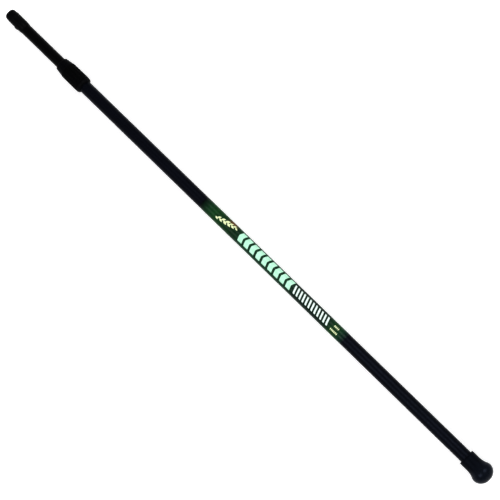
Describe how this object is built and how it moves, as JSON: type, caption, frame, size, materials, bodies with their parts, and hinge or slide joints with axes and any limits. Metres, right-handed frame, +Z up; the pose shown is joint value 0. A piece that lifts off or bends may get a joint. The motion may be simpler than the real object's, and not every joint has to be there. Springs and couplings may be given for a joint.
{
  "type": "telescopic net handle",
  "caption": "Telescopic extending handle for a skimmer net: main tube with a printed band, twist lock, thin inner tube with a snap button tip, and a ball foot.",
  "frame": {"origin": "on the floor under the handle's middle, as it is stored with the inner tube part way out", "axes": "+X along the handle from the ball foot to the tip, +Y the way the snap button faces, +Z up"},
  "size_m": [1.126, 0.0378, 0.0377],
  "materials": {
    "black_coat": "satin",
    "thin_tube_coat": "satin",
    "lock_plastic": "matte",
    "grip_rubber": "matte",
    "wiper_rubber": "matte",
    "foot_rubber": "satin",
    "tip_plastic": "satin",
    "button_plastic": "gloss",
    "label_green": "satin",
    "label_mint": "satin",
    "label_white": "satin",
    "label_yellow": "satin",
    "nylon": "satin",
    "rivet": "brushed",
    "spring_steel": "brushed"
  },
  "bodies": {
    "outer_pole": {"outer_tube": "black_coat", "foot_plug": "nylon", "ball_foot": "foot_rubber", "label_sleeve": "label_green", "threaded_sleeve": "lock_plastic", "sleeve_rivet_a": "rivet", "sleeve_rivet_b": "rivet"},
    "collet": {"split_collet": "nylon"},
    "nut": {"lock_nut": "lock_plastic", "nut_grip": "grip_rubber", "wiper_ring": "wiper_rubber"},
    "bush": {"guide_bush": "nylon"},
    "inner_pole": {"inner_tube": "thin_tube_coat", "end_plug": "tip_plastic", "end_plug_pin": "rivet", "tip_sleeve": "tip_plastic", "tip_rivet": "rivet", "spring_fixed_leg": "spring_steel"},
    "button": {"spring_moving_leg": "spring_steel", "snap_button": "button_plastic"}
  },
  "joints": [
    {"name": "extension_slide", "type": "slide", "parent": "outer_pole", "child": "bush", "axis": [1, 0, 0], "range_m": [-0.085, 0.674]},
    {"name": "inner_spin", "type": "hinge", "parent": "bush", "child": "inner_pole", "pos_m": [0, 0, 0.01885], "axis": [1, 0, 0], "continuous": true},
    {"name": "lock_thrust_slide", "type": "slide", "parent": "outer_pole", "child": "collet", "axis": [1, 0, 0], "range_m": [0, 0.00126]},
    {"name": "lock_twist", "type": "hinge", "parent": "collet", "child": "nut", "pos_m": [0, 0, 0.01885], "axis": [1, 0, 0], "range_deg": [0, 150]},
    {"name": "snap_button_press", "type": "hinge", "parent": "inner_pole", "child": "button", "pos_m": [0.48565, 0.002, 0.01885], "axis": [0, 0, -1], "range_deg": [0, 2.8], "stiffness_Nm_per_rad": 7, "springref_deg": -1.72}
  ],
  "couplings": [
    {"joint": "lock_thrust_slide", "follows": "lock_twist", "m_per_rad": 0.00047746}
  ]
}
